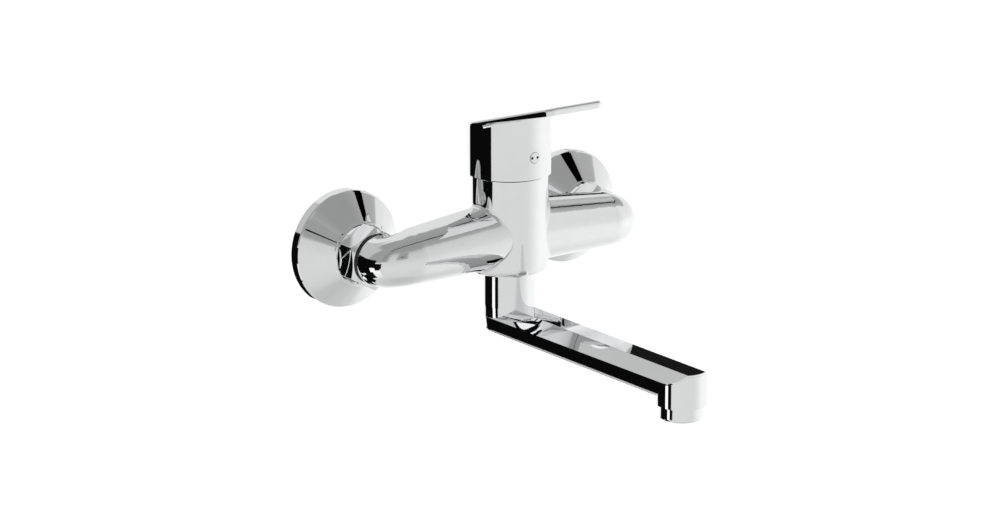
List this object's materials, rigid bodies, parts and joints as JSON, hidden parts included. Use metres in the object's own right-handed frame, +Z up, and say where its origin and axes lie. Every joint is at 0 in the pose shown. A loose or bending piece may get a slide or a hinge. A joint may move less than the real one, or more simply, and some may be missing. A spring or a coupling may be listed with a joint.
{
  "type": "wall mounted mixer tap",
  "caption": "Wall mounted single lever mixer tap with two round wall covers, tapered arms and a long flat swivel spout.",
  "frame": {"origin": "on the wall plane, midway between the two inlet axes", "axes": "+Z up, -Y out from the wall along the spout, +X to the right seen from the front"},
  "size_m": [0.2142, 0.224, 0.1459],
  "materials": {
    "chrome_body": "polished chrome plate on brass",
    "chrome_trim": "polished chrome plate on sheet brass",
    "chrome_lever": "polished chrome plate on zinc",
    "chrome_spout": "polished chrome plate on brass",
    "raw_brass": "machined",
    "ceramic": "lapped",
    "white_plastic": "moulded",
    "grey_plastic": "moulded",
    "chromed_plastic": "gloss",
    "black_rubber": "smooth",
    "steel": "turned",
    "red_mark": "gloss",
    "blue_mark": "gloss"
  },
  "bodies": {
    "fixed_body": {"body": "chrome_body", "cartridge_base": "white_plastic", "cartridge_seals": "black_rubber", "fixed_disc": "ceramic", "cartridge_housing": "grey_plastic", "cartridge_nut": "raw_brass", "cover_ring": "chrome_trim", "rotor_seal": "black_rubber", "spout_nipple": "raw_brass", "spout_o_rings": "black_rubber", "swivel_washer": "black_rubber", "left_escutcheon": "chrome_trim", "left_s_union": "chrome_trim", "left_union_nut": "chrome_trim", "left_inlet_nipple": "raw_brass", "left_spacer_ring": "black_rubber", "left_strainer_gasket": "black_rubber", "left_strainer": "steel", "right_escutcheon": "chrome_trim", "right_s_union": "chrome_trim", "right_union_nut": "chrome_trim", "right_inlet_nipple": "raw_brass", "right_spacer_ring": "black_rubber", "right_strainer_gasket": "black_rubber", "right_strainer": "steel"},
    "mixing_rotor": {"rotor": "white_plastic", "stem_pin": "steel"},
    "valve_disc": {"disc_carrier": "grey_plastic", "moving_disc": "ceramic"},
    "lever": {"stem": "steel", "lever": "chrome_lever", "lever_screw": "steel", "index_plug": "chromed_plastic", "hot_mark": "red_mark", "cold_mark": "blue_mark"},
    "swivel_spout": {"spout": "chrome_spout", "spout_screw": "steel", "aerator_housing": "chrome_spout", "aerator_insert": "white_plastic", "aerator_gasket": "black_rubber"}
  },
  "joints": [
    {"name": "lever_turn", "type": "hinge", "parent": "fixed_body", "child": "mixing_rotor", "pos_m": [0, -0.05, 0.032], "axis": [0, 0, 1], "range_deg": [-50, 50]},
    {"name": "lever_lift", "type": "hinge", "parent": "mixing_rotor", "child": "lever", "pos_m": [0, -0.05, 0.032], "axis": [-1, 0, 0], "range_deg": [0, 25]},
    {"name": "disc_slide", "type": "slide", "parent": "mixing_rotor", "child": "valve_disc", "axis": [0, -1, 0], "range_m": [0, 0.0045]},
    {"name": "spout_swivel", "type": "hinge", "parent": "fixed_body", "child": "swivel_spout", "pos_m": [0, -0.05, -0.03], "axis": [0, 0, 1], "range_deg": [-90, 90]}
  ],
  "couplings": [
    {"joint": "disc_slide", "follows": "lever_lift", "m_per_rad": 0.009}
  ]
}
